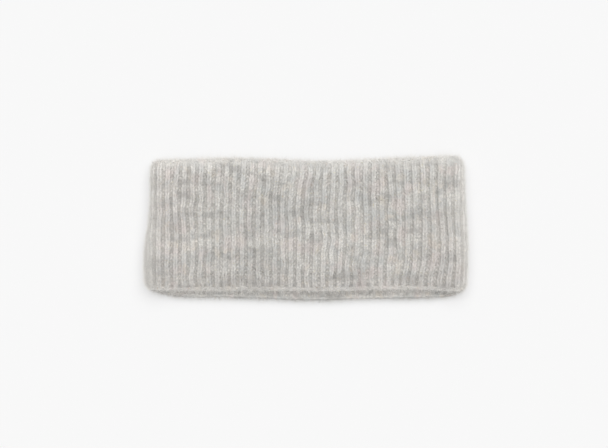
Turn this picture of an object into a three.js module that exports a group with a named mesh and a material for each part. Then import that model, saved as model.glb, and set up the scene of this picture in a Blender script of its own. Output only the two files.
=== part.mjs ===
// An ear warmer headband: one closed loop of rib knit, lying flat with its front panel above its back panel.
// Millimetres. X runs across the band from fold to fold, Y up its height, and Z up from the table.
import * as THREE from "three";

// Driving sizes of the flat band.
const flatWidth = 230; // left fold to right fold, at the widest row
const bandHeight = 94; // lower edge to upper edge
const headGap = 5.2; // clear height between the panels in the middle of the band
const foldFullness = 1.2; // extra clear height that the springy folds keep
const foldInfluence = 0.5; // share of the half width, from a fold inwards, that the folds hold up

// Driving sizes of the rib knit.
const ribPitch = 5.87; // crest to crest across the front panel
const ribShift = 2.1; // the crest nearest the middle of the front panel, to its right
const clothThickness = 2.3; // through the knit, the same on crests and in grooves
const ribRelief = 1.9; // groove to crest, on either face
const crestShare = 0.3; // of a pitch that is the flat top of a crest, and likewise the floor of a groove

// Driving sizes of the cast-on and cast-off edges, which draw the knit in.
const rimLength = 1.8; // from an edge to where the knit is full
const rimThickness = 1.5; // through the knit at an edge
const rimRelief = 1.2; // groove to crest at an edge
const upperTuck = 4.2; // how far the upper edge is drawn in where it turns round a fold
const lowerTuck = 4.6; // the same for the lower edge
const tuckReach = 3.2; // along the edges from a fold, while that falls to about a third

const bodyRows = 5; // stretches of knit between the two rims

// The band's outline. across runs from the left fold, -1, to the right fold, 1. The edges are shares of
// bandHeight from the middle of the front panel, and backDrop is how far the back panel has slid below it.
const edges = [
  { across: -1.0, frontTop: 0.499, frontBottom: -0.486, backDrop: 0.0 },
  { across: -0.85, frontTop: 0.497, frontBottom: -0.502, backDrop: 0.03 },
  { across: -0.55, frontTop: 0.51, frontBottom: -0.506, backDrop: 0.043 },
  { across: -0.2, frontTop: 0.502, frontBottom: -0.503, backDrop: 0.058 },
  { across: 0.05, frontTop: 0.487, frontBottom: -0.51, backDrop: 0.062 },
  { across: 0.4, frontTop: 0.5, frontBottom: -0.5, backDrop: 0.057 },
  { across: 0.75, frontTop: 0.519, frontBottom: -0.498, backDrop: 0.054 },
  { across: 0.92, frontTop: 0.529, frontBottom: -0.506, backDrop: 0.03 },
  { across: 1.0, frontTop: 0.532, frontBottom: -0.506, backDrop: 0.0 },
];

// How far each fold lies from the middle, as a share of half the width. up runs from the lower edge, -1, to 1.
const sides = [
  { up: -1.0, left: 0.998, right: 0.996 },
  { up: -0.6, left: 1.0, right: 1.0 },
  { up: -0.25, left: 0.991, right: 1.0 },
  { up: 0.05, left: 0.973, right: 0.994 },
  { up: 0.4, left: 0.962, right: 0.985 },
  { up: 1.0, left: 0.96, right: 0.978 },
];

// Where the hand that laid it down pushed the front panel. across and up are shares as above, and so are their
// reaches; sideways is a share of ribPitch, and down is a share of headGap.
const pushEdge = 6; // how sharply all the pushes die out at the folds
const pushes = [
  { across: -0.25, up: 0.95, reachAcross: 0.5, reachUp: 0.4, sideways: 0.25, down: 0.06 },
  { across: 0.02, up: 0.3, reachAcross: 0.3, reachUp: 0.35, sideways: -0.12, down: 0.04 },
  { across: 0.3, up: -0.9, reachAcross: 0.3, reachUp: 0.5, sideways: -0.3, down: 0.05 },
  { across: 0.72, up: -0.95, reachAcross: 0.18, reachUp: 0.35, sideways: -0.38, down: 0.1 },
  { across: 0.84, up: -0.4, reachAcross: 0.12, reachUp: 0.4, sideways: 0.4, down: -0.05 },
  { across: 0.66, up: 0.95, reachAcross: 0.25, reachUp: 0.4, sideways: -0.28, down: 0.08 },
  { across: -0.6, up: -0.2, reachAcross: 0.3, reachUp: 0.5, sideways: 0.06, down: 0.09 },
];

const wall = clothThickness + ribRelief; // crest on one face to crest on the other
const backLevel = wall / 2; // middle of the back panel's cloth, whose crests lie on the table
const foldRadius = (wall + headGap + foldFullness) / 2; // of the middle of the cloth
const foldArc = (Math.PI / 2) * foldRadius; // from the panel to the outermost line of a fold
const halfWidth = flatWidth / 2;
const ribCount = 2 * Math.round(flatWidth / ribPitch);

// A smooth curve through one column of a table, read at a place between its rows.
function curveThrough(table, place, column) {
  const places = table.map((row) => row[place]);
  const values = table.map((row) => row[column]);
  const curve = new THREE.CubicInterpolant(places, values, 1, [0]);
  return (at) => curve.evaluate(THREE.MathUtils.clamp(at, -1, 1))[0];
}

const frontTop = curveThrough(edges, "across", "frontTop");
const frontBottom = curveThrough(edges, "across", "frontBottom");
const backDrop = curveThrough(edges, "across", "backDrop");
const leftSide = curveThrough(sides, "up", "left");
const rightSide = curveThrough(sides, "up", "right");

// The sum of one column of the pushes at a place on the front panel, each fading over its reaches.
function pushAt(column, across, up) {
  let sum = 0;
  for (const push of pushes) {
    const a = (across - push.across) / push.reachAcross;
    const u = (up - push.up) / push.reachUp;
    sum += push[column] * Math.exp(-a * a - u * u);
  }
  return sum;
}

// The middle of the cloth at a height and a place round the loop, counted in ribs from the crest nearest the
// middle of the front panel. The ribs keep their pitch across the front, and the back panel takes up the rest.
function clothAt(up, rib) {
  const left = halfWidth * leftSide(up) - wall / 2 - foldRadius; // from the middle to where a fold begins
  const right = halfWidth * rightSide(up) - wall / 2 - foldRadius;
  const front = left + right + 2 * foldArc;
  const firstRib = -(left + foldArc + ribShift) / ribPitch;
  const frontRibs = front / ribPitch;
  const turn = THREE.MathUtils.euclideanModulo(rib - firstRib, ribCount);
  const along =
    turn < frontRibs ? turn * ribPitch : front + ((turn - frontRibs) * front) / (ribCount - frontRibs);

  const fold = (angle, side, end) => ({
    x: side * (end + foldRadius * Math.sin(angle)),
    z: backLevel + foldRadius * (1 + Math.cos(angle)),
    outX: side * Math.sin(angle),
    outZ: Math.cos(angle),
    toFold: Math.abs(angle - Math.PI / 2) * foldRadius,
  });
  if (along < foldArc) return fold((foldArc - along) / foldRadius, -1, left);
  if (along < front - foldArc) {
    const x = along - foldArc - left;
    const flatEnd = halfWidth * (1 - foldInfluence);
    const nearFold = THREE.MathUtils.smoothstep(Math.abs(x), flatEnd, Math.min(left, right));
    const z = backLevel + wall + headGap + foldFullness * nearFold;
    return { x, z, outX: 0, outZ: 1, toFold: Math.min(along, front - along) };
  }
  if (along < front + foldArc) return fold((along - (front - foldArc)) / foldRadius, 1, right);
  if (along < 2 * front - foldArc) {
    const x = right - (along - front - foldArc);
    return { x, z: backLevel, outX: 0, outZ: -1, toFold: Math.min(along - front, 2 * front - along) };
  }
  return fold(Math.PI - (along - (2 * front - foldArc)) / foldRadius, -1, left);
}

// One point of the knit's surface. out is its distance from the middle of the cloth, outwards.
function knitPoint(up, rib, out) {
  const cloth = clothAt(up, rib);
  const front = (1 + cloth.outZ) / 2; // 1 on the front panel, 0 on the back panel
  const across = cloth.x / halfWidth;
  const loose = front * (1 - across ** pushEdge);
  const x = cloth.x + cloth.outX * out + loose * ribPitch * pushAt("sideways", across, up);
  const z = cloth.z + cloth.outZ * out - loose * headGap * pushAt("down", across, up);
  const slid = backDrop(across) * (1 - front);
  const drawn = Math.exp(-cloth.toFold / tuckReach);
  const top = bandHeight * (frontTop(across) - slid) - upperTuck * drawn;
  const bottom = bandHeight * (frontBottom(across) - slid) + lowerTuck * drawn;
  return [x, THREE.MathUtils.lerp(bottom, top, (up + 1) / 2), z];
}

// The rows of knit from the lower edge to the upper one.
function knitRows() {
  const rim = { thickness: rimThickness, relief: rimRelief };
  const body = { thickness: clothThickness, relief: ribRelief };
  const rimUp = 1 - (2 * rimLength) / bandHeight;
  const rows = [{ up: -1, ...rim }];
  for (let i = 0; i <= bodyRows; i++) rows.push({ up: rimUp * ((2 * i) / bodyRows - 1), ...body });
  rows.push({ up: 1, ...rim });
  return rows;
}

// The corners of one rib: two on its crest, two in the groove after it.
function ribCorners() {
  const half = crestShare / 2;
  return [
    { turn: -half, side: 1 },
    { turn: half, side: 1 },
    { turn: 0.5 - half, side: -1 },
    { turn: 0.5 + half, side: -1 },
  ];
}

// The band's closed surface: each row is a ring of points on the outer face and one on the inner face.
function bandGeometry() {
  const rows = knitRows();
  const corners = ribCorners();
  const ring = ribCount * corners.length;
  const points = [];
  for (const row of rows) {
    for (const face of [1, -1]) {
      for (let i = 0; i < ring; i++) {
        const corner = corners[i % corners.length];
        const rib = Math.floor(i / corners.length) + corner.turn;
        const out = (face * row.thickness + corner.side * row.relief) / 2;
        points.push(...knitPoint(row.up, rib, out));
      }
    }
  }

  const triangles = [];
  const quad = (a, b, c, d) => triangles.push(a, b, c, a, c, d);
  const outer = (row, i) => 2 * row * ring + (i % ring);
  const inner = (row, i) => (2 * row + 1) * ring + (i % ring);
  const last = rows.length - 1;
  for (let i = 0; i < ring; i++) {
    for (let row = 0; row < last; row++) {
      quad(outer(row, i), outer(row, i + 1), outer(row + 1, i + 1), outer(row + 1, i));
      quad(inner(row, i + 1), inner(row, i), inner(row + 1, i), inner(row + 1, i + 1));
    }
    quad(inner(0, i), inner(0, i + 1), outer(0, i + 1), outer(0, i));
    quad(outer(last, i), outer(last, i + 1), inner(last, i + 1), inner(last, i));
  }

  const geometry = new THREE.BufferGeometry();
  geometry.setAttribute("position", new THREE.Float32BufferAttribute(points, 3));
  geometry.setIndex(triangles);
  return geometry;
}

// The band stands over the origin: the middle of its outline, seen from above, on the table.
function headband() {
  const geometry = bandGeometry();
  geometry.computeBoundingBox();
  const box = geometry.boundingBox;
  const middle = box.getCenter(new THREE.Vector3());
  geometry.translate(-middle.x, -middle.y, -box.min.z);
  geometry.computeVertexNormals();
  const wool = new THREE.MeshStandardMaterial({ color: 0xbfbcb7, roughness: 0.95, metalness: 0 });
  const band = new THREE.Mesh(geometry, wool);
  band.name = "rib_knit_band";
  const group = new THREE.Group();
  group.add(band);
  return group;
}

export default headband();
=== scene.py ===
"""Dresses the knitted headband: its yarn, stitch by stitch, its edge chains, and the brushed fuzz on it."""

import math

import bpy
import numpy as np
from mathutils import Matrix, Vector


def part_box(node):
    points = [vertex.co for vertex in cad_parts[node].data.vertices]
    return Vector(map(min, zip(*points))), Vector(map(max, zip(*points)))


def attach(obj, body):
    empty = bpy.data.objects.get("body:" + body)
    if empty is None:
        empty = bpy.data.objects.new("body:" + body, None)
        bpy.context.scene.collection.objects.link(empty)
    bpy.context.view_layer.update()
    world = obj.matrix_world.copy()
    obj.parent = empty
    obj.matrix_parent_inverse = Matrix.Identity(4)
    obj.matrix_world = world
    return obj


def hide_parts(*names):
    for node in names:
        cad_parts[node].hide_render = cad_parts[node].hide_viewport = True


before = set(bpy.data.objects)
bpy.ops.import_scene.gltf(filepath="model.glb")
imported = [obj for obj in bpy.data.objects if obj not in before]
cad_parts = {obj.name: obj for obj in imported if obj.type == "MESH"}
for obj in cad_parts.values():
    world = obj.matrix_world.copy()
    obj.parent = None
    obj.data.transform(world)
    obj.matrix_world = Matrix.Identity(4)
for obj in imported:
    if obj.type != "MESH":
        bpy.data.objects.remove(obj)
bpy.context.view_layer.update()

MM = 0.001
BAND = "rib_knit_band"
UV_MAP = "OFBake"

# The flat band, in metres, as its frame was built.
FLAT_WIDTH = 230 * MM
BAND_HEIGHT = 94 * MM
HEAD_GAP = 5.2 * MM
FOLD_FULLNESS = 1.2 * MM
FOLD_INFLUENCE = 0.5
RIB_PITCH = 5.87 * MM
RIB_SHIFT = 2.1 * MM
CLOTH_THICKNESS = 2.3 * MM
RIB_RELIEF = 1.9 * MM
RIM_LENGTH = 1.8 * MM
UPPER_TUCK = 4.2 * MM
LOWER_TUCK = 4.6 * MM
TUCK_REACH = 3.2 * MM
WALL = CLOTH_THICKNESS + RIB_RELIEF
BACK_LEVEL = WALL / 2
FOLD_RADIUS = (WALL + HEAD_GAP + FOLD_FULLNESS) / 2
FOLD_ARC = math.pi / 2 * FOLD_RADIUS
HALF_WIDTH = FLAT_WIDTH / 2
RIBS = 2 * round(FLAT_WIDTH / RIB_PITCH)

# across, then the front panel's upper and lower edge as shares of the height, then how far the back slid.
EDGES = np.array(
    [
        (-1.0, 0.499, -0.486, 0.0),
        (-0.85, 0.497, -0.502, 0.03),
        (-0.55, 0.51, -0.506, 0.043),
        (-0.2, 0.502, -0.503, 0.058),
        (0.05, 0.487, -0.51, 0.062),
        (0.4, 0.5, -0.5, 0.057),
        (0.75, 0.519, -0.498, 0.054),
        (0.92, 0.529, -0.506, 0.03),
        (1.0, 0.532, -0.506, 0.0),
    ]
)

# up, then how far the left and right folds lie from the middle, as shares of half the width.
SIDES = np.array(
    [
        (-1.0, 0.998, 0.996),
        (-0.6, 1.0, 1.0),
        (-0.25, 0.991, 1.0),
        (0.05, 0.973, 0.994),
        (0.4, 0.962, 0.985),
        (1.0, 0.96, 0.978),
    ]
)

# Pushes of the hand on the front panel: across, up, their reaches, then sideways in ribs and down in gaps.
PUSHES = (
    (-0.25, 0.95, 0.5, 0.4, 0.25, 0.06),
    (0.02, 0.3, 0.3, 0.35, -0.12, 0.04),
    (0.3, -0.9, 0.3, 0.5, -0.3, 0.05),
    (0.72, -0.95, 0.18, 0.35, -0.38, 0.1),
    (0.84, -0.4, 0.12, 0.4, 0.4, -0.05),
    (0.66, 0.95, 0.25, 0.4, -0.28, 0.08),
    (-0.6, -0.2, 0.3, 0.5, 0.06, 0.09),
)
PUSH_EDGE = 6
SIDEWAYS = 4  # columns of the pushes
DOWN = 5

# Where lengths of darker wool lie side by side on the front: across, up, their reaches, then how dark, or
# how pale where less than 0. The pale places low on the front are painted light, for the sagging lower edge
# that faces away from the light.
SHADES = (
    (-0.22, 0.46, 0.07, 0.12, 0.3),
    (-0.37, 0.0, 0.11, 0.1, 0.3),
    (-0.25, -0.6, 0.2, 0.1, 0.28),
    (0.16, 0.08, 0.12, 0.11, 0.3),
    (0.48, 0.2, 0.09, 0.1, 0.32),
    (0.27, -0.72, 0.08, 0.12, 0.32),
    (0.4, -0.42, 0.07, 0.09, 0.25),
    (0.78, -0.42, 0.09, 0.07, 0.28),
    (-0.5, 0.6, 0.07, 0.09, 0.25),
    (-0.87, 0.03, 0.06, 0.13, 0.25),
    (-0.1, -0.35, 0.12, 0.12, 0.12),
    (-0.65, 0.3, 0.25, 0.4, 0.06),
    (0.2, 0.8, 0.3, 0.25, -0.1),
    (0.66, 0.75, 0.2, 0.25, -0.2),
    (0.85, -0.03, 0.1, 0.2, -0.32),
    (0.6, -0.8, 0.14, 0.2, -0.38),
    (0.87, -0.78, 0.1, 0.2, -0.34),
    (0.7, -0.14, 0.06, 0.12, -0.15),
    (-0.55, -0.82, 0.3, 0.15, -0.2),
)

# Where the wool is rosier, or cooler where less than 0, in the same way.
TINTS = (
    (-0.85, 0.1, 0.15, 0.9, 0.22),
    (0.2, 0.75, 0.3, 0.3, -0.3),
    (-0.4, -0.05, 0.22, 0.25, -0.15),
    (0.0, 0.2, 0.2, 0.6, -0.12),
    (0.0, -0.95, 1.2, 0.25, 0.14),
    (0.87, -0.5, 0.15, 0.6, 0.14),
)

# across, then how far the front panel's lower edge gapes above the back panel, in metres.
GAPES = np.array(
    [
        (-1.0, 0.0),
        (-0.85, -0.0003),
        (-0.55, -0.0002),
        (-0.2, 0.0002),
        (0.05, 0.0003),
        (0.4, 0.0003),
        (0.7, -0.0001),
        (0.9, -0.0003),
        (1.0, 0.0),
    ]
)

# The stitches. A period of the yarn is one knit stitch and one purl stitch.
COURSES = 30
YARN_RADIUS = 0.95 * MM
LOOP_SHARE = 1.78  # a loop's height in courses
LEG_LEAN = 0.55 * MM  # how far a loop's legs lean apart from foot to head
LEG_SPREAD = 0.12 * MM  # how far the rib's pull draws each leg outwards
LEG_OUT = 1.15 * MM  # a leg's middle, out from the middle of the cloth
HEAD_DIP = 0.7 * MM  # how far a loop's head lies behind its legs
RISE_WANDER = 0.24 * MM  # how unevenly the yarn lies along the ribs
ACROSS_WANDER = 0.13 * MM
OUT_WANDER = 0.07 * MM
RADIUS_WANDER = 0.07  # as a share of the radius
FOOT_DRAW = 0.7 * MM  # how far the first loops' feet lie inside the yarn's outline
YARN_AT_EDGE = 0.8  # the yarn's radius at an edge, as a share of the full one
YARN_EDGE_REACH = 3 * MM
DEPTH_AT_EDGE = 0.3  # the ribs' depth at an edge, as a share of the full one
UPPER_DEPTH_REACH = 7 * MM  # from the upper edge to where the ribs are full
LOWER_DEPTH_REACH = 5.5 * MM  # the same for the front panel's lower edge
BACK_DEPTH_EXTRA = 4.5 * MM  # how much further it is from the back panel's lower edge
KNIT_POINTS = 9  # points of a stitch that faces out
PURL_POINTS = 6  # points of a stitch that faces in
YARN_SIDES = 5

# The edge chains.
CHAIN_POINTS = 12  # to a rib
CHAIN_RADIUS = 0.95 * MM
CHAIN_DRAW = 1.15 * MM  # how far a chain's middle lies inside the edge
CHAIN_WAVE = 0.4 * MM  # how far a chain goes out on a crest and in at a groove
CHAIN_WIND = 0.4 * MM  # how far each strand lies from a chain's middle, along the ribs
CHAIN_DEPTH = 0.5 * MM  # the same through the cloth
CHAIN_WANDER = 0.3 * MM
CHAIN_UNEVENNESS = 0.15  # of its radius
CHAIN_LIGHT = 0.4  # how pale the painted light makes it, as a share of what it does to the courses
LOWER_CHAIN_SHADE = 0.3  # how much painted shade darkens the lower chain, whose round strands catch more light than the courses

# The felted core.
CORE_STEPS = 6  # to a rib
CORE_ROWS = 13
CORE_DRAW = 1.4 * MM  # how far it ends inside the edges
CORE_HALF = 0.25 * MM  # half its thickness between a crest and a groove
CORE_WAVE = 0.6 * MM  # how far it follows the ribs
CORE_FILL = 0.45 * MM  # how much thicker it is on the crests of either face

# The fuzz.
FIBRE_SEGMENTS = 2
ROOT_DEPTH = 0.35 * MM  # how far a fibre starts below the yarns' outer side
ARCH_DEPTH = 0.2 * MM  # how far it may lie below it where the ribs rise
FLOOR_CLEARANCE = 0.1 * MM
FIBRE_CURL = 1.0  # how far a fibre turns along its length, in radians
FIBRE_TAPER = 0.75  # how much narrower it gets towards its tip
BRUSH_SPREAD = 0.25  # how far the brushed fibres stray from the ribs' direction, in radians

# How far the ribs stray by themselves, and how much their crests vary in height.
RIB_STRAY = 0.08  # in ribs
CREST_STRAY = 0.22 * MM
STRAY_KNOTS = 11  # bends along a rib
STRAY_OWN = 0.6  # how much of the straying is a rib's own
STRAY_SHARED = 0.5  # how much it shares with the ribs beside it
FOLD_FLATTENING = 0.35  # share of the grooves' depth that the stretch round the folds takes away
FOLD_REACH = 7.5 * MM  # from a fold, while the flattening and the next two fade
LEFT_DRAW = 0.95 * MM  # how far the left fold, which is tighter, is drawn in
RIGHT_EASE = 0.1 * MM  # how far the right fold, which is looser, stands out
CORNER_DRAW = 0.7 * MM  # how far the folds are drawn in where they meet the edges
CORNER_REACH = 2.2 * MM
# The painted shade that darkens the grooves between the ribs, standing in for their shadow, and where it
# fades.
BRUSHED_SHARE = 0.5  # how much of a groove's painted shade the fuzz takes away where it is densest
GROOVE_SHADE_FROM = 1 * MM  # from an edge or a fold to where the painted shade in the grooves starts
UPPER_SHADE_FULL = 8 * MM  # from the upper edge to where it is full
LOWER_SHADE_FULL = 4 * MM
FOLD_SHADE_FULL = 6 * MM

# How the edges lie, and where painted light makes the wool paler at the folds and the upper edge.
# The painted light on the folds stands in for light from the sides, and at the upper edge it is a painted
# highlight.
EDGE_DRAW = 0.2 * MM  # how far the yarn at the edges lies inside the band's outline, which the fuzz fills
UPPER_SAG = 4.8 * MM  # how far the front panel's upper edge sinks towards the back panel
UPPER_SAG_REACH = 7 * MM
LOWER_SAG_REACH = 11 * MM
SAG_END = 10  # how sharply both lessen at the folds
FOLD_STIFFNESS = 0.55  # how much less they are there
STIFF_INSET = 4 * MM  # how far inside the outline that is reached
EDGE_GAP = 3.9 * MM  # between the middles of the two panels' cloths, where their lower edges touch
LOWER_DRAW = 1.2 * MM  # how far the front panel's lower edge is drawn in where it sinks on the other
BACK_LIFT = 1.2 * MM  # how far the back panel's lower edge lifts off the table
LIFT_REACH = 8 * MM
STRIP_SHADE = 0.04  # how much painted shade darkens the wool along the back panel's lower edge
UPPER_EDGE_LIGHT = 0.5  # how much the painted highlight pales the wool at the upper edge, as a share of the painted light at the folds
EDGE_LIGHT_REACH = 4 * MM
FOLD_LIGHT_REACH = 5.2 * MM
LOWER_LEFT_LIGHT_REACH = 3.6 * MM  # how much further in the painted light reaches on the lower half of the left fold

# The maps. Each course and each strand of a chain is laid out in a number of strips, which leave this share
# of their height free on either side, and each fibre in a cell of its own.
COURSE_STRIPS = 4
CHAIN_STRIPS = 8
MAP_MARGIN = 0.04
MAP_FILL = 1 - 2 * MAP_MARGIN
CELL_SIDE = 0.1  # share of a cell that is free beside a fibre
CELL_END = 0.05  # and past either end of it

# The floor is a lit white sheet.
FLOOR_SIZE = 12
FLOOR_DROP = 0.2 * MM
FLOOR_COLOUR = (0.5, 0.5, 0.5, 1)
FLOOR_GLOW = 0.36
ROOM_LIGHT = 0.32
KEY_LIGHT = 2.85
KEY_SPREAD = math.radians(75)
KEY_TURN = (math.radians(-22), math.radians(3), 0)

# The camera, which looks straight down.
PIXEL = 0.71 * MM  # what a pixel of the photograph spans on the band
FIELD = 608 * PIXEL  # across the picture
EYE_ACROSS = -0.9 * PIXEL
EYE_UP = 4.4 * PIXEL
SHARP_LEVEL = 10 * MM  # the height at which the picture spans the field


def eased(share):
    return share * share * (3 - 2 * share)


def smoothstep(value, low, high):
    return eased(np.clip((value - low) / (high - low), 0, 1))


def curve_through(table, column):
    """A smooth curve through one column of a table, read at a place in its first column."""
    places = table[:, 0]
    values = table[:, column]
    slopes = np.gradient(values, places)

    def read(at):
        at = np.clip(at, -1, 1)
        i = np.clip(np.searchsorted(places, at) - 1, 0, len(places) - 2)
        span = places[i + 1] - places[i]
        t = (at - places[i]) / span
        start = (1 + 2 * t) * (1 - t) ** 2 * values[i] + t * (1 - t) ** 2 * span * slopes[i]
        end = t * t * (3 - 2 * t) * values[i + 1] + t * t * (t - 1) * span * slopes[i + 1]
        return start + end

    return read


front_top = curve_through(EDGES, 1)
front_bottom = curve_through(EDGES, 2)
back_drop = curve_through(EDGES, 3)
left_side = curve_through(SIDES, 1)
right_side = curve_through(SIDES, 2)
gape = curve_through(GAPES, 1)


def to_nearer_edge(up):
    return (1 - np.minimum(np.abs(up), 1)) * BAND_HEIGHT / 2


def to_lower_edge(up):
    return np.maximum(1 + up, 0) * BAND_HEIGHT / 2


def on_left(rib):
    return np.mod(rib, RIBS) > RIBS / 2


def push_at(column, across, up):
    total = np.zeros(np.broadcast(across, up).shape)
    for push in PUSHES:
        a = (across - push[0]) / push[2]
        u = (up - push[1]) / push[3]
        total += push[column] * np.exp(-a * a - u * u)
    return total


def round_loop(up, rib):
    """How far a place lies round the loop from the outermost line of the left fold, then the length of the
    front, where each fold begins, and how far the place lies from the nearer fold."""
    left = HALF_WIDTH * left_side(up) - WALL / 2 - FOLD_RADIUS
    right = HALF_WIDTH * right_side(up) - WALL / 2 - FOLD_RADIUS
    front = left + right + 2 * FOLD_ARC
    front_ribs = front / RIB_PITCH
    turn = np.mod(rib + (left + FOLD_ARC + RIB_SHIFT) / RIB_PITCH, RIBS)
    back = front + (turn - front_ribs) * front / (RIBS - front_ribs)
    along = np.where(turn < front_ribs, turn * RIB_PITCH, back)
    to_fold = np.minimum(np.minimum(np.abs(along), np.abs(along - front)), np.abs(2 * front - along))
    return along, front, left, right, to_fold


def band_points(up, rib, out):
    """Places on the band. up runs over its height from -1 to 1, rib counts ribs round the loop from the
    crest in the middle of the front, and out is how far a point lies outside the middle of the cloth."""
    up, rib, out = np.broadcast_arrays(up, rib, out)
    along, front, left, right, to_fold = round_loop(up, rib)
    on_front = (along >= FOLD_ARC) & (along < front - FOLD_ARC)
    on_right = (along >= front - FOLD_ARC) & (along < front + FOLD_ARC)
    on_back = (along >= front + FOLD_ARC) & (along < 2 * front - FOLD_ARC)
    arc = math.pi * FOLD_RADIUS - (along - (2 * front - FOLD_ARC))
    arc = np.where(along < FOLD_ARC, FOLD_ARC - along, arc)
    angle = np.where(on_right, along - (front - FOLD_ARC), arc) / FOLD_RADIUS
    angle = np.where(on_front, 0, np.where(on_back, math.pi, angle))
    side = np.where(on_right, 1, -1)
    end = np.where(on_right, right, left)

    x = side * (end + FOLD_RADIUS * np.sin(angle))
    x = np.where(on_front, along - FOLD_ARC - left, x)
    x = np.where(on_back, right - (along - front - FOLD_ARC), x)
    near_fold = smoothstep(np.abs(x), HALF_WIDTH * (1 - FOLD_INFLUENCE), np.minimum(left, right))
    sunk = FOLD_FULLNESS * (1 - near_fold)
    z = BACK_LEVEL + FOLD_RADIUS * (1 + np.cos(angle)) - np.where(on_front, sunk, 0)
    out_x = np.where(on_front | on_back, 0, side * np.sin(angle))
    out_z = np.cos(angle)

    in_front = (1 + out_z) / 2
    across = x / HALF_WIDTH
    loose = in_front * (1 - np.abs(across) ** PUSH_EDGE)
    new_x = x + out_x * out + loose * RIB_PITCH * push_at(SIDEWAYS, across, up)
    new_z = z + out_z * out - loose * HEAD_GAP * push_at(DOWN, across, up)
    slid = back_drop(across) * (1 - in_front)
    drawn = np.exp(-to_fold / TUCK_REACH)
    top = BAND_HEIGHT * (front_top(across) - slid) - UPPER_TUCK * drawn
    bottom = BAND_HEIGHT * (front_bottom(across) - slid) + LOWER_TUCK * drawn
    y = bottom + (top - bottom) * (up + 1) / 2
    return np.stack([new_x, y, new_z], axis=-1)


def shift_to_frame():
    """The step from the band as worked out here to where its frame stands."""
    low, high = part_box(BAND)
    up = np.array([-1, -1 + 2 * RIM_LENGTH / BAND_HEIGHT, 0, 1 - 2 * RIM_LENGTH / BAND_HEIGHT, 1])
    rib = np.arange(RIBS * 8) / 8
    outside = band_points(up[:, None], rib[None, :], WALL / 2).reshape(-1, 3)
    middle = (outside.min(axis=0) + outside.max(axis=0)) / 2
    return np.array([(low[0] + high[0]) / 2 - middle[0], (low[1] + high[1]) / 2 - middle[1], low[2]])


SHIFT = shift_to_frame()


def stray_table(seed):
    """Random numbers for each rib at each bend, in part shared with the ribs beside it."""
    loose = np.random.default_rng(seed).standard_normal((RIBS, STRAY_KNOTS))
    shared = STRAY_SHARED * (np.roll(loose, 1, axis=0) + np.roll(loose, -1, axis=0)) / 2**0.5
    return STRAY_OWN * loose + shared


SIDE_STRAY = stray_table(3)
HEIGHT_STRAY = stray_table(4)
BRUSH_STRAY = stray_table(5)


def stray(table, rib, up):
    """A smooth reading of a stray table at a place on the band."""
    row = np.mod(rib, RIBS)
    i = np.floor(row).astype(int) % RIBS
    s = eased(row - np.floor(row))
    column = np.clip((up + 1) / 2, 0, 1) * (STRAY_KNOTS - 1)
    j = np.minimum(np.floor(column).astype(int), STRAY_KNOTS - 2)
    t = eased(column - j)
    near = table[i, j] * (1 - t) + table[i, j + 1] * t
    far = table[(i + 1) % RIBS, j] * (1 - t) + table[(i + 1) % RIBS, j + 1] * t
    return near * (1 - s) + far * s


def on_back(rib):
    """1 on the back panel, 0 on the front panel, and smooth round the folds."""
    from_middle = np.abs(np.mod(rib + RIBS / 2, RIBS) - RIBS / 2)
    return smoothstep(from_middle, RIBS / 4 - 1, RIBS / 4 + 1)


def on_band(up, rib, out):
    """Places on the band as band_points gives them, in the frame, with ribs astray and sagging edges."""
    up, rib, out = np.broadcast_arrays(up, rib, out)
    lower = -CREST_STRAY * np.abs(np.clip(stray(HEIGHT_STRAY, rib, up), -1.5, 1.5)) * np.sign(out)
    to_fold = round_loop(up, rib)[-1]
    to_edge = to_nearer_edge(up)
    raised = FOLD_FLATTENING * LEG_OUT * (1 - np.cos(2 * math.pi * rib)) * (1 - on_back(rib))
    raised = raised - CORNER_DRAW * np.exp(-to_edge / CORNER_REACH)
    raised = raised + np.where(on_left(rib), -LEFT_DRAW, RIGHT_EASE)
    out = out + lower + raised * np.exp(-((to_fold / FOLD_REACH) ** 2))
    rib = rib + RIB_STRAY * stray(SIDE_STRAY, rib, up)
    points = band_points(up, rib, out) + SHIFT
    across = np.minimum(np.abs(points[..., 0] / (HALF_WIDTH - STIFF_INSET)), 1)
    loose = 1 - FOLD_STIFFNESS * across**SAG_END
    on_front = 1 - on_back(rib)
    to_top = np.maximum(1 - up, 0) * BAND_HEIGHT / 2
    to_bottom = to_lower_edge(up)
    low = np.exp(-((to_bottom / LOWER_SAG_REACH) ** 2))
    level = band_points(up, rib, 0 * out)[..., 2]
    clear = level - BACK_LEVEL - EDGE_GAP - gape(points[..., 0] / HALF_WIDTH)
    sag = UPPER_SAG * np.exp(-((to_top / UPPER_SAG_REACH) ** 2)) + np.maximum(clear, 0) * low
    lift = BACK_LIFT * np.exp(-((to_bottom / LIFT_REACH) ** 2))
    points[..., 1] += loose * on_front * LOWER_DRAW * low
    points[..., 2] += loose * (lift * (1 - on_front) - sag * on_front)
    return points


def painted_edge_light(up, rib):
    """How much painted light pales the wool: 1 at the folds, less at the upper edge, and 0 elsewhere."""
    to_edge = to_nearer_edge(up)
    edge = np.where(up > 0, UPPER_EDGE_LIGHT, 0) * np.exp(-((to_edge / EDGE_LIGHT_REACH) ** 2))
    to_fold = round_loop(up, rib)[-1]
    reach = FOLD_LIGHT_REACH + np.where(on_left(rib), LOWER_LEFT_LIGHT_REACH * smoothstep(-up, -0.3, 0.4), 0)
    return np.maximum(edge, np.exp(-((to_fold / reach) ** 2)))


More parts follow.
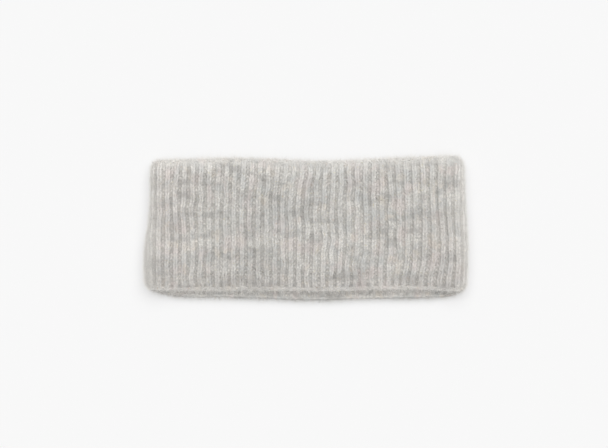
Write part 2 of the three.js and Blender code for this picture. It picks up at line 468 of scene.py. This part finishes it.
def wool_at(points, up, rib):
    """How dark, with painted light and shade, and how rosy the wool is at points of the frame that lie at a
    place on the band.
    """
    across = (points[..., 0] - SHIFT[0]) / HALF_WIDTH
    values = {}
    for key, table in (("wool_tone_and_shade", SHADES), ("tint", TINTS)):
        total = np.zeros(across.shape)
        for row in table:
            total += row[4] * np.exp(-(((across - row[0]) / row[2]) ** 2) - ((up - row[1]) / row[3]) ** 2)
        values[key] = total * (1 - on_back(rib))
    to_bottom = to_lower_edge(up)
    # painted shade along the back panel's lower edge
    values["wool_tone_and_shade"] += STRIP_SHADE * on_back(rib) * np.exp(-((to_bottom / LIFT_REACH) ** 2))
    return values


def brushed_over(up, rib):
    """How densely the brush has drawn fuzz over a place, from 0 to 1."""
    return np.clip(0.5 + 0.45 * stray(BRUSH_STRAY, rib, up), 0, 1)


def free_of_groove_shade(crest, up, rib):
    """How far a place is free of the painted shade in the grooves, which at the edges and folds all places
    come to.
    """
    to_edge = to_nearer_edge(up)
    to_fold = round_loop(up, rib)[-1]
    unshaded_at_fold = (1 - smoothstep(to_fold, GROOVE_SHADE_FROM, FOLD_SHADE_FULL)) * (1 - on_back(rib))
    full = np.where(up > 0, UPPER_SHADE_FULL, LOWER_SHADE_FULL)
    groove_shaded = smoothstep(to_edge, GROOVE_SHADE_FROM, full) * (1 - unshaded_at_fold)
    return 1 - (1 - crest) * groove_shaded * (1 - BRUSHED_SHARE * brushed_over(up, rib))


def unit(vectors):
    return vectors / np.linalg.norm(vectors, axis=-1, keepdims=True)


def wander(rng, shape, knots):
    """Smooth random numbers along the last axis, closed on themselves, about one in size."""
    values = rng.standard_normal((*shape[:-1], knots))
    at = np.arange(shape[-1]) * knots / shape[-1]
    i = np.floor(at).astype(int)
    t = eased(at - i)
    return values[..., i % knots] * (1 - t) + values[..., (i + 1) % knots] * t


def mesh_piece(name, points, corners, starts, uv, values, material):
    """A piece from arrays: its points, its faces' corners, where each face starts, and its point values."""
    mesh = bpy.data.meshes.new(name)
    mesh.vertices.add(len(points))
    mesh.vertices.foreach_set("co", points.astype(np.float32).ravel())
    mesh.loops.add(len(corners))
    mesh.loops.foreach_set("vertex_index", corners.astype(np.int32))
    mesh.polygons.add(len(starts))
    mesh.polygons.foreach_set("loop_start", starts.astype(np.int32))
    mesh.update(calc_edges=True)
    mesh.shade_smooth()
    mesh.uv_layers.new(name=UV_MAP).uv.foreach_set("vector", uv.astype(np.float32).ravel())
    for key, numbers in values.items():
        attribute = mesh.attributes.new(key, "FLOAT", "POINT")
        attribute.data.foreach_set("value", numbers.astype(np.float32).ravel())
    mesh.materials.append(material)
    piece = bpy.data.objects.new(name, mesh)
    bpy.context.scene.collection.objects.link(piece)
    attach(piece, "root")
    return piece


def quad_map(u, v, du, dv):
    """The map of quads, from the low corner and the size of each."""
    return np.stack([u, v, u + du, v, u + du, v + dv, u, v + dv], -1).reshape(-1, 2)


def quad_piece(name, points, quads, uv, values, material):
    corners = quads.reshape(-1)
    starts = np.arange(len(corners) // 4) * 4
    return mesh_piece(name, points, corners, starts, uv, values, material)


def tubes(name, paths, radius, sides, rows_per_ring, values, material):
    """Closed tubes along rings of points, one a row of paths. Their map lays each ring out in strips."""
    rings, count, _ = paths.shape
    tangent = unit(np.roll(paths, -1, axis=1) - np.roll(paths, 1, axis=1))
    normal = np.empty_like(paths)
    start = np.array([0.0, 1.0, 0.0]) + 0 * paths[:, 0]
    normal[:, 0] = unit(start - (start * tangent[:, 0]).sum(-1, keepdims=True) * tangent[:, 0])
    for i in range(1, count):
        before = normal[:, i - 1]
        normal[:, i] = unit(before - (before * tangent[:, i]).sum(-1, keepdims=True) * tangent[:, i])
    across = np.cross(tangent, normal)
    last = normal[:, -1] - (normal[:, -1] * tangent[:, 0]).sum(-1, keepdims=True) * tangent[:, 0]
    twist = np.arctan2((last * across[:, 0]).sum(-1), (last * normal[:, 0]).sum(-1))
    unwind = -twist[:, None] * np.arange(count) / count
    turn = unwind[:, :, None] + np.arange(sides) * 2 * math.pi / sides
    spoke = np.cos(turn)[..., None] * normal[:, :, None] + np.sin(turn)[..., None] * across[:, :, None]
    points = (paths[:, :, None] + spoke * radius[:, :, None, None]).reshape(-1, 3)

    ring, step, side = np.meshgrid(np.arange(rings), np.arange(count), np.arange(sides), indexing="ij")
    next_step = (step + 1) % count
    next_side = (side + 1) % sides
    here = (ring * count + step) * sides
    ahead = (ring * count + next_step) * sides
    quads = np.stack([here + side, ahead + side, ahead + next_side, here + next_side], -1)
    per_row = count // rows_per_ring
    row = ring * rows_per_ring + step // per_row
    u = (step % per_row) / per_row
    v = (row + MAP_MARGIN + MAP_FILL * side / sides) / (rings * rows_per_ring)
    du = 1 / per_row
    dv = MAP_FILL / sides / (rings * rows_per_ring)
    spread = {key: np.repeat(numbers.reshape(-1), sides) for key, numbers in values.items()}
    return quad_piece(name, points, quads, quad_map(u, v, du, dv), spread, material)


def yarn_paths(rng):
    """The middle of the yarn in each course, with its radius and the values that its colour follows, as
    arrays of courses by points round the band."""
    knit_turn = np.arange(KNIT_POINTS) * math.pi / KNIT_POINTS
    purl_turn = math.pi + np.arange(PURL_POINTS) * math.pi / PURL_POINTS
    period = np.concatenate([knit_turn, purl_turn])
    t = (np.arange(RIBS)[:, None] * 2 * math.pi + period[None, :]).ravel()
    count = len(t)
    first_foot = EDGE_DRAW + FOOT_DRAW
    course_height = (BAND_HEIGHT - 2 * first_foot) / (COURSES - 1 + LOOP_SHARE)
    loop = course_height * LOOP_SHARE
    middle = first_foot + loop / 2 + np.arange(COURSES)[:, None] * course_height
    shape = (COURSES, count)
    stitches = RIBS * 2

    rise = middle - loop / 2 * np.cos(2 * t) + RISE_WANDER * wander(rng, shape, stitches)
    across = LEG_LEAN * np.sin(4 * t) - LEG_SPREAD * np.sin(2 * t)
    across = across + ACROSS_WANDER * wander(rng, shape, stitches)
    rib = t / (2 * math.pi) - 0.25 + across / RIB_PITCH + RIBS / 2
    first = ((1 + math.sqrt(2)) * LEG_OUT - HEAD_DIP) / 2
    third = ((math.sqrt(2) - 1) * LEG_OUT + HEAD_DIP) / 2
    out = first * np.sin(t) + third * np.sin(3 * t) + OUT_WANDER * wander(rng, shape, stitches)
    to_edge = np.minimum(rise, BAND_HEIGHT - rise)
    up = 2 * rise / BAND_HEIGHT - 1
    # how far each point is free of the painted shade in the grooves
    crest = free_of_groove_shade(0.5 + 0.5 * out / LEG_OUT, up, rib)
    full = np.where(up > 0, UPPER_DEPTH_REACH, LOWER_DEPTH_REACH + BACK_DEPTH_EXTRA * on_back(rib))
    out = out * (DEPTH_AT_EDGE + (1 - DEPTH_AT_EDGE) * smoothstep(to_edge, 0, full))
    radius = YARN_RADIUS * (1 + RADIUS_WANDER * wander(rng, shape, stitches))
    radius = radius * (YARN_AT_EDGE + (1 - YARN_AT_EDGE) * smoothstep(to_edge, 0, YARN_EDGE_REACH))
    points = on_band(up, rib, out)
    return points, radius, {"crest": crest, "edge_light": painted_edge_light(up, rib), **wool_at(points, up, rib)}


def knit(material):
    """The courses of yarn, in three pieces, from the lower edge up."""
    rng = np.random.default_rng(11)
    paths, radius, values = yarn_paths(rng)
    values["course"] = np.repeat(rng.uniform(0, 1, (COURSES, 1)), paths.shape[1], axis=1)
    part = COURSES // 3
    pieces = []
    for i, name in enumerate(("lower_courses", "middle_courses", "upper_courses")):
        rows = slice(i * part, (i + 1) * part)
        part_values = {key: numbers[rows] for key, numbers in values.items()}
        piece = tubes(name, paths[rows], radius[rows], YARN_SIDES, COURSE_STRIPS, part_values, material)
        pieces.append(piece)
    return pieces


def edge_chain(name, at_top, material):
    """The cast-on or cast-off chain: two strands that wind round each other along an edge."""
    rng = np.random.default_rng(21 + at_top)
    count = RIBS * CHAIN_POINTS
    t = np.arange(count) * math.pi / (CHAIN_POINTS / 2)
    turn = 2 * t + np.array([[0.0], [math.pi]])
    wave = CHAIN_WAVE * np.cos(t)
    rise = EDGE_DRAW + CHAIN_DRAW + CHAIN_WIND * np.sin(turn)
    rise = rise + CHAIN_WANDER * wander(rng, (2, count), RIBS)
    rise = BAND_HEIGHT - rise if at_top else rise
    out = wave + CHAIN_DEPTH * np.cos(turn)
    up = 2 * rise / BAND_HEIGHT - 1
    rib = t / (2 * math.pi) + RIBS / 2
    paths = on_band(up, rib, out)
    radius = CHAIN_RADIUS * (1 + CHAIN_UNEVENNESS * wander(rng, (2, count), RIBS))
    values = {"course": np.full((2, count), 0.3 + 0.4 * at_top), "crest": np.full((2, count), 1.0)}
    # painted light on the chains, less than on the courses
    values["edge_light"] = CHAIN_LIGHT * painted_edge_light(up, rib)
    values.update(wool_at(paths, up, rib))
    # painted shade on the lower chain
    values["wool_tone_and_shade"] += 0 if at_top else LOWER_CHAIN_SHADE
    return tubes(name, paths, radius, YARN_SIDES, CHAIN_STRIPS, values, material)


def felt_core(material):
    """The felted middle of the brushed knit, which closes the gaps between the yarns."""
    rows = CORE_ROWS
    rib = np.arange(RIBS * CORE_STEPS) / CORE_STEPS
    up = np.linspace(-1, 1, rows) * (1 - 2 * CORE_DRAW / BAND_HEIGHT)
    wave = np.cos(2 * math.pi * rib)
    filled = CORE_FILL * np.maximum(wave, 0) + CORE_WAVE * wave + CORE_HALF
    outer = on_band(up[:, None], rib[None, :], filled[None, :])
    filled = CORE_FILL * np.maximum(-wave, 0) - CORE_WAVE * wave + CORE_HALF
    inner = on_band(up[:, None], rib[None, :], -filled[None, :])
    points = np.concatenate([outer, inner[::-1]]).reshape(-1, 3)
    ring = len(rib)
    row, i = np.meshgrid(np.arange(2 * rows), np.arange(ring), indexing="ij")
    next_row = (row + 1) % (2 * rows)
    next_i = (i + 1) % ring
    here = row * ring
    ahead = next_row * ring
    quads = np.stack([here + i, here + next_i, ahead + next_i, ahead + i], -1)
    u = i / ring
    v = row / (2 * rows)
    du = 1 / ring
    dv = 1 / (2 * rows)
    crest = free_of_groove_shade(0.5 + 0.5 * np.cos(2 * math.pi * rib)[None, :], up[:, None], rib[None, :])
    values = {"course": np.full(len(points), 0.5), "crest": np.concatenate([crest, crest[::-1]]).ravel()}
    edge_light = painted_edge_light(up[:, None], rib[None, :])
    values["edge_light"] = np.concatenate([edge_light, edge_light[::-1]]).ravel()
    values.update(wool_at(points, np.concatenate([up, up[::-1]]).repeat(len(rib)), np.tile(rib, 2 * rows)))
    return quad_piece("felted_core", points, quads, quad_map(u, v, du, dv), values, material)


def crest_height(rib):
    """How far the yarns' outer side lies out from the middle of the cloth, on a crest and in a groove."""
    groove = YARN_RADIUS - (LEG_OUT - HEAD_DIP)
    crest = LEG_OUT + YARN_RADIUS
    return (crest + groove) / 2 + (crest - groove) / 2 * np.cos(2 * math.pi * rib)


def fuzz(name, rng, up, rib, turn, lengths, lift, width, material, roll=0.3, skyward=0.0, face=1):
    """Loose fibres as narrow ribbons. Each starts in the knit at a place of its own, and lies along the
    band's outer or inner face in the direction of its turn, while it rises and curls. Their flat sides face
    out, or up by a share of skyward, and roll is how unevenly they do."""
    count = len(up)
    segments = FIBRE_SEGMENTS
    bend = rng.normal(0, FIBRE_CURL, count)
    share = np.linspace(0, 1, segments + 1)[None, :]
    heading = turn[:, None] + bend[:, None] * share
    step = lengths[:, None] / segments
    along = np.cumsum(np.cos(heading) * step, axis=1) - np.cos(heading[:, :1]) * step
    rise = np.cumsum(np.sin(heading) * step, axis=1) - np.sin(heading[:, :1]) * step
    ribs = rib[:, None] + along / RIB_PITCH
    ups = up[:, None] + 2 * rise / BAND_HEIGHT
    to_crest = 0 if face > 0 else 0.5
    root = crest_height(rib + to_crest)[:, None] - ROOT_DEPTH
    arch = np.maximum(root, crest_height(ribs + to_crest) - ARCH_DEPTH)
    out = face * (arch + lift[:, None] * share**1.3)
    paths = on_band(ups, ribs, out)
    paths[..., 2] = np.maximum(paths[..., 2], FLOOR_CLEARANCE + SHIFT[2])
    outward = unit(on_band(ups[:, :1], ribs[:, :1], out[:, :1] + face * MM) - paths[:, :1])
    tangent = unit(np.gradient(paths, axis=1))
    lean = (1 - skyward) * outward + skyward * np.array([0, 0, 1])
    lean = lean + roll * rng.standard_normal((count, 1, 3))
    sideways = unit(np.cross(tangent, lean))
    half = width[:, None, None] / 2 * (1 - FIBRE_TAPER * share[..., None])
    first = (paths - sideways * half)[:, :-1]
    second = (paths + sideways * half)[:, :-1]
    tip = paths[:, -1:]
    points = np.concatenate([first, second, tip], axis=1)

    per = 2 * segments + 1
    base = np.arange(count)[:, None] * per
    faces = []
    for k in range(segments - 1):
        faces += [k, k + 1, segments + k + 1, segments + k]
    faces += [segments - 1, 2 * segments, 2 * segments - 1]
    corners = (base + np.array(faces)[None, :]).ravel()
    local = np.arange(segments) * 4
    starts = (np.arange(count)[:, None] * len(faces) + local[None, :]).ravel()

    columns = math.ceil(math.sqrt(count) / 2)
    lines = math.ceil(count / columns)
    cell = np.arange(count)
    u0 = (cell % columns) / columns
    v0 = (cell // columns) / lines
    place_v = np.concatenate([np.arange(segments), np.arange(segments), [segments]]) / (segments + 0.5)
    place_u = np.concatenate([np.full(segments, CELL_SIDE), np.full(segments, 1 - CELL_SIDE), [0.5]])
    u = (u0[:, None] + place_u[faces][None, :] / columns).ravel()
    v = (v0[:, None] + (CELL_END + (1 - 2 * CELL_END) * place_v[faces])[None, :] / lines).ravel()
    crest = free_of_groove_shade(0.5 + 0.5 * np.cos(2 * math.pi * ribs), ups, ribs)
    crest = np.concatenate([crest[:, :-1], crest[:, :-1], crest[:, -1:]], axis=1).ravel()
    values = {"tone": np.repeat(rng.uniform(0, 1, count), per), "crest": crest}
    values["edge_light"] = np.repeat(painted_edge_light(up, rib), per)
    values.update({key: np.repeat(numbers, per) for key, numbers in wool_at(paths[:, 0], up, rib).items()})
    return mesh_piece(name, points.reshape(-1, 3), corners, starts, np.stack([u, v], -1), values, material)


def brushed(rng, count, along_ribs):
    """Directions of fibres, a share of them drawn along the ribs by the brush."""
    free = rng.uniform(0, 2 * math.pi, count)
    drawn = rng.choice((-1, 1), count) * math.pi / 2 + rng.normal(0, BRUSH_SPREAD, count)
    return np.where(rng.uniform(0, 1, count) < along_ribs, drawn, free)


def near_crests(rng, count, middle, spread):
    """Places on the panel round a middle rib, mostly on the crests of its ribs."""
    crest = np.round(middle + rng.uniform(-RIBS / 4, RIBS / 4, count))
    return crest + rng.normal(0, spread, count)


def brushed_fuzz(material, painted_glow_material):
    """The fuzz all over the band, then the longer fuzz that stands out past its edges and folds, most of it
    made paler as painted light.
    """
    rng = np.random.default_rng(31)
    pieces = []
    for name, middle, count in (("front_fuzz", 0.0, 34000), ("back_fuzz", RIBS / 2, 18000)):
        up = rng.uniform(-1, 1, 2 * count)
        rib = near_crests(rng, 2 * count, middle, 0.28)
        chosen = np.argsort(brushed_over(up, rib) + rng.uniform(0, 1, 2 * count))[count:]
        up, rib = up[chosen], rib[chosen]
        turn = brushed(rng, count, 0.4)
        lengths = rng.uniform(1.0, 3.2, count) * MM
        lift = rng.uniform(0, 1, count) ** 3 * 2.4 * MM
        width = rng.uniform(0.09, 0.18, count) * MM
        pieces.append(fuzz(name, rng, up, rib, turn, lengths, lift, width, material, roll=0.25))

    for name, middle, count in (("front_wisps", 0.0, 12000), ("back_wisps", RIBS / 2, 8000)):
        up = rng.uniform(-1, 1, count)
        rib = near_crests(rng, count, middle, 0.2)
        turn = brushed(rng, count, 0.5)
        lengths = rng.uniform(1.2, 3.2, count) * MM
        lift = rng.uniform(0, 1, count) ** 2 * 0.4 * MM
        width = rng.uniform(0.25, 0.55, count) * MM
        pieces.append(fuzz(name, rng, up, rib, turn, lengths, lift, width, material, roll=0.15))

    for name, face, count in (("edge_fuzz", 1, 46000), ("inner_edge_fuzz", -1, 16000)):
        edge = rng.choice((-1, 1), count)
        reach = 0.05 if face > 0 else 0.14
        up = edge * (1 - 2 * EDGE_DRAW / BAND_HEIGHT - rng.uniform(0, 1, count) ** 1.5 * reach)
        rib = rng.uniform(0, RIBS, count)
        past_edge = edge * math.pi / 2 + rng.normal(0, 0.6, count)
        turn = np.where(rng.uniform(0, 1, count) < 0.7, past_edge, rng.uniform(0, 2 * math.pi, count))
        lengths = (0.8 + (5.4 if face > 0 else 3) * rng.uniform(0, 1, count) ** 2) * MM
        lift = rng.uniform(-0.8, 0.8, count) * MM
        width = rng.uniform(0.035, 0.06, count) * MM * (1 if face > 0 else 2.5)
        used = painted_glow_material if face > 0 else material
        pieces.append(fuzz(name, rng, up, rib, turn, lengths, lift, width, used, skyward=0.7, face=face))

    count = 44000
    up = rng.uniform(-1, 1, count)
    side = rng.choice((-0.25, 0.25), count) * RIBS
    rib = side + rng.normal(0, 0.6, count)
    turn = brushed(rng, count, 0.3)
    lengths = (1.0 + 2.5 * rng.uniform(0, 1, count)) * MM
    lift = (0.4 + 3.4 * rng.uniform(0, 1, count)) * MM
    width = rng.uniform(0.04, 0.075, count) * MM
    pieces.append(fuzz("fold_fuzz", rng, up, rib, turn, lengths, lift, width, painted_glow_material, skyward=0.7))
    return pieces


class Socket:
    """A node's output that takes part in sums, with numbers and with other sockets."""

    def __init__(self, finish, output):
        self.finish = finish
        self.output = output

    def __add__(self, other):
        return self.finish.maths("ADD", self, other)

    def __sub__(self, other):
        return self.finish.maths("SUBTRACT", self, other)

    def __mul__(self, other):
        return self.finish.maths("MULTIPLY", self, other)

    def __rsub__(self, other):
        return self.finish.maths("SUBTRACT", other, self)

    __radd__ = __add__
    __rmul__ = __mul__


class Finish:
    """A material and the nodes that feed its surface."""

    def __init__(self, name):
        self.material = bpy.data.materials.new(name)
        self.material.use_nodes = True
        self.tree = self.material.node_tree
        self.surface = self.tree.nodes["Principled BSDF"]

    def feed(self, socket, value):
        if isinstance(value, Socket):
            self.tree.links.new(value.output, socket)
        else:
            socket.default_value = value

    def node(self, kind, settings, sockets, output=0):
        """Adds a node of a type, with its settings set first and then its sockets, and gives one output."""
        added = self.tree.nodes.new(kind)
        for key, value in settings.items():
            setattr(added, key, value)
        for key, value in sockets.items():
            self.feed(added.inputs[key], value)
        return Socket(self, added.outputs[output])

    def maths(self, operation, first, second):
        return self.node("ShaderNodeMath", {"operation": operation}, {0: first, 1: second})

    def blend(self, share, first, second):
        """A colour that goes from the first to the second as share goes from 0 to 1."""
        return self.node("ShaderNodeMix", {"data_type": "RGBA"}, {0: share, 6: first, 7: second}, 2)

    def between(self, value, low, high):
        """0 below low, 1 above high, and smooth from one to the other."""
        settings = {"interpolation_type": "SMOOTHSTEP"}
        sockets = {"Value": value, "From Min": low, "From Max": high}
        return self.node("ShaderNodeMapRange", settings, sockets)

    def place(self, stretch, shift=0.0):
        """The place on the object, stretched along each axis and moved along all of them by shift."""
        here = self.node("ShaderNodeTexCoord", {}, {}, 3)
        moved = self.node("ShaderNodeVectorMath", {"operation": "MULTIPLY"}, {0: here, 1: stretch})
        return self.node("ShaderNodeVectorMath", {"operation": "ADD"}, {0: moved, 1: shift})

    def noise(self, stretch, shift=(0, 0, 0), detail=2.0, roughness=0.5):
        """Noise over the object, with about as many blobs to a metre along each axis as stretch says."""
        sockets = {"Vector": self.place(stretch, shift), "Scale": 1.0}
        sockets.update({"Detail": detail, "Roughness": roughness})
        return self.node("ShaderNodeTexNoise", {}, sockets)

    def attribute(self, name):
        return self.node("ShaderNodeAttribute", {"attribute_name": name}, {}, 2)

    def bump(self, height, strength, distance):
        sockets = {"Height": height, "Strength": strength, "Distance": distance}
        return self.node("ShaderNodeBump", {}, sockets)

    def set(self, **values):
        for key, value in values.items():
            self.feed(self.surface.inputs[key.replace("_", " ")], value)


WHITEST = (0.87, 0.855, 0.825, 1)
PALE = (0.765, 0.744, 0.703, 1)
GREY = (0.505, 0.496, 0.474, 1)
DARK = (0.34, 0.333, 0.32, 1)
COOL = (0.51, 0.518, 0.508, 1)
BLUE_GREY = (0.4, 0.405, 0.41, 1)
ROSE = (0.66, 0.585, 0.56, 1)
BEIGE = (0.67, 0.61, 0.53, 1)
GROOVE_SHADE = (0.34, 0.325, 0.305, 1)
RUST = (0.5, 0.39, 0.32, 1)
STRAW = (0.58, 0.54, 0.36, 1)
BROWN = (0.2, 0.17, 0.15, 1)


def heather_colour(finish, shift):
    """The heather of the wool: fine mottling, darker lengths of yarn side by side, painted shade and
    painted light from the point values, and cool, rosy and beige places."""
    fine = finish.noise((580, 720, 580), shift, 3.0)
    colour = finish.blend(finish.between(fine, 0.33, 0.68), PALE, GREY)
    lengths = finish.noise((75, 150, 75), (6.4, 2.9, 1.7), 3.0)
    colour = finish.blend(finish.between(lengths, 0.46, 0.7) * 0.7, colour, DARK)
    broad = finish.noise((20, 70, 20), (1.9, 6.3, 3.2), 2.0)
    colour = finish.blend(finish.between(broad, 0.42, 0.68) * 0.25, colour, DARK)
    # darker wool and painted shade, then paler wool and painted light where the values are below 0
    colour = finish.blend(finish.attribute("wool_tone_and_shade"), colour, DARK)
    colour = finish.blend(finish.attribute("wool_tone_and_shade") * -1.0, colour, PALE)
    cool = finish.noise((95, 110, 95), (3.7, 1.3, 5.1), 3.0)
    colour = finish.blend(finish.between(cool, 0.48, 0.66) * 0.62, colour, COOL)
    rose = finish.noise((90, 70, 90), (8.2, 4.4, 0.6), 4.0)
    colour = finish.blend(finish.between(rose, 0.52, 0.68) * 0.52, colour, ROSE)
    beige = finish.noise((120, 95, 120), (2.6, 7.8, 4.9), 4.0)
    colour = finish.blend(finish.between(beige, 0.56, 0.7) * 0.5, colour, BEIGE)
    colour = finish.blend(finish.attribute("tint"), colour, ROSE)
    colour = finish.blend(finish.attribute("tint") * -1.0, colour, COOL)
    return colour


def groove_shade_and_edge_light(finish, colour):
    """Painted shade darkens the grooves against the crests, and painted light pales the wool at the upper
    edge and the folds."""
    patchy = finish.between(finish.noise((420, 300, 420), (4.3, 0.2, 8.8), 2.0), 0.35, 0.65)
    # painted shade in the grooves, broken into patches, then painted light at the upper edge and the folds
    colour = finish.blend((1 - finish.attribute("crest")) * (0.18 + 0.5 * patchy), colour, GROOVE_SHADE)
    return finish.blend(finish.attribute("edge_light") * (0.6 + 0.36 * patchy), colour, WHITEST)


def yarn_finish():
    finish = Finish("heather_yarn")
    course = finish.attribute("course")
    shift = finish.node("ShaderNodeCombineXYZ", {}, {0: course * 40.0, 1: course * 3.0, 2: course * 17.0})
    colour = heather_colour(finish, shift)
    rust = finish.noise((420, 700, 500), (1.1, 9.2, 3.3), 1.0)
    colour = finish.blend(finish.between(rust, 0.7, 0.76) * 0.6, colour, RUST)
    straw = finish.noise((380, 640, 500), (5.1, 2.2, 7.3), 1.0)
    colour = finish.blend(finish.between(straw, 0.69, 0.75) * 0.6, colour, STRAW)
    brown = finish.noise((600, 900, 700), (2.1, 6.2, 4.3), 1.0)
    colour = finish.blend(finish.between(brown, 0.68, 0.74) * 0.5, colour, BROWN)
    hairs = finish.noise((2600, 1500, 2600), (0, 0, 0), 4.0, 0.7)
    colour = finish.blend(finish.between(hairs, 0.3, 0.7) * 0.14, colour, PALE)
    colour = groove_shade_and_edge_light(finish, colour)
    finish.set(Base_Color=colour, Roughness=0.86 + 0.14 * hairs, Normal=finish.bump(hairs, 0.4, 0.3 * MM))
    finish.set(Sheen_Weight=0.6, Sheen_Roughness=0.5, Specular_IOR_Level=0.15)
    return finish.material


def fuzz_finish(name, paleness):
    finish = Finish(name)
    tone = finish.attribute("tone")
    colour = heather_colour(finish, (0, 0, 0))
    # Loose fibres are paler than the yarn, and paleness makes them paler still, painted light that stands
    # in for light shining through them.
    colour = finish.blend(paleness, colour, WHITEST)
    colour = finish.blend(finish.between(tone, 0.78, 0.80) * 0.45, colour, GREY)
    colour = finish.blend(finish.between(tone, 0.89, 0.9) * 0.45, colour, BLUE_GREY)
    colour = finish.blend(finish.between(tone, 0.93, 0.94) * 0.8, colour, BEIGE)
    colour = finish.blend(finish.between(tone, 0.97, 0.98) * 0.8, colour, STRAW)
    colour = finish.blend(finish.between(tone, 0.98, 0.985), colour, RUST)
    colour = finish.blend(finish.between(tone, 0.99, 0.995), colour, BROWN)
    colour = groove_shade_and_edge_light(finish, colour)
    finish.set(Base_Color=colour, Roughness=0.9 + 0.1 * tone)
    finish.set(Sheen_Weight=0.4, Sheen_Roughness=0.5, Specular_IOR_Level=0.1)
    return finish.material


def studio():
    """A pale floor, an even white room and a broad soft light from above the band's upper edge."""
    bpy.ops.mesh.primitive_plane_add(size=FLOOR_SIZE)
    floor = bpy.context.object
    floor.name = "floor"
    floor.location.z = -FLOOR_DROP
    paint = Finish("lit_floor")
    paint.set(Base_Color=FLOOR_COLOUR, Roughness=1.0, Specular_IOR_Level=0.0)
    paint.set(Emission_Color=(1, 1, 1, 1), Emission_Strength=FLOOR_GLOW)
    floor.data.materials.append(paint.material)

    world = bpy.data.worlds.new("white_room")
    world.use_nodes = True
    world.node_tree.nodes["Background"].inputs["Color"].default_value = (1, 1, 1, 1)
    world.node_tree.nodes["Background"].inputs["Strength"].default_value = ROOM_LIGHT
    bpy.context.scene.world = world

    lamp = bpy.data.lights.new("soft_key", "SUN")
    lamp.energy = KEY_LIGHT
    lamp.angle = KEY_SPREAD
    key = bpy.data.objects.new("soft_key", lamp)
    key.rotation_euler = KEY_TURN
    bpy.context.scene.collection.objects.link(key)


def camera():
    """Straight above the band, with the photograph's framing."""
    lens = bpy.data.cameras.new("camera")
    lens.lens = 85
    lens.sensor_width = 36
    eye = bpy.data.objects.new("camera", lens)
    height = FIELD / lens.sensor_width * lens.lens
    eye.location = (EYE_ACROSS, EYE_UP, height + SHARP_LEVEL)
    bpy.context.scene.collection.objects.link(eye)
    bpy.context.scene.camera = eye


camera()
studio()
yarn = yarn_finish()
fibre = fuzz_finish("brushed_fuzz", 0.2)
# The edge and fold fuzz, made much paler: painted light for the light through loose fibres and on the
# folds' sides.
glowing_edge_fibre = fuzz_finish("edge_fuzz_painted_glow", 0.75)
dressed = knit(yarn)
dressed.append(edge_chain("lower_edge_chain", False, yarn))
dressed.append(edge_chain("upper_edge_chain", True, yarn))
dressed += brushed_fuzz(fibre, glowing_edge_fibre)
for piece in dressed:
    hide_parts(BAND)
cloth = felt_core(yarn)
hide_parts(BAND)
bpy.context.scene.view_settings.view_transform = "Standard"
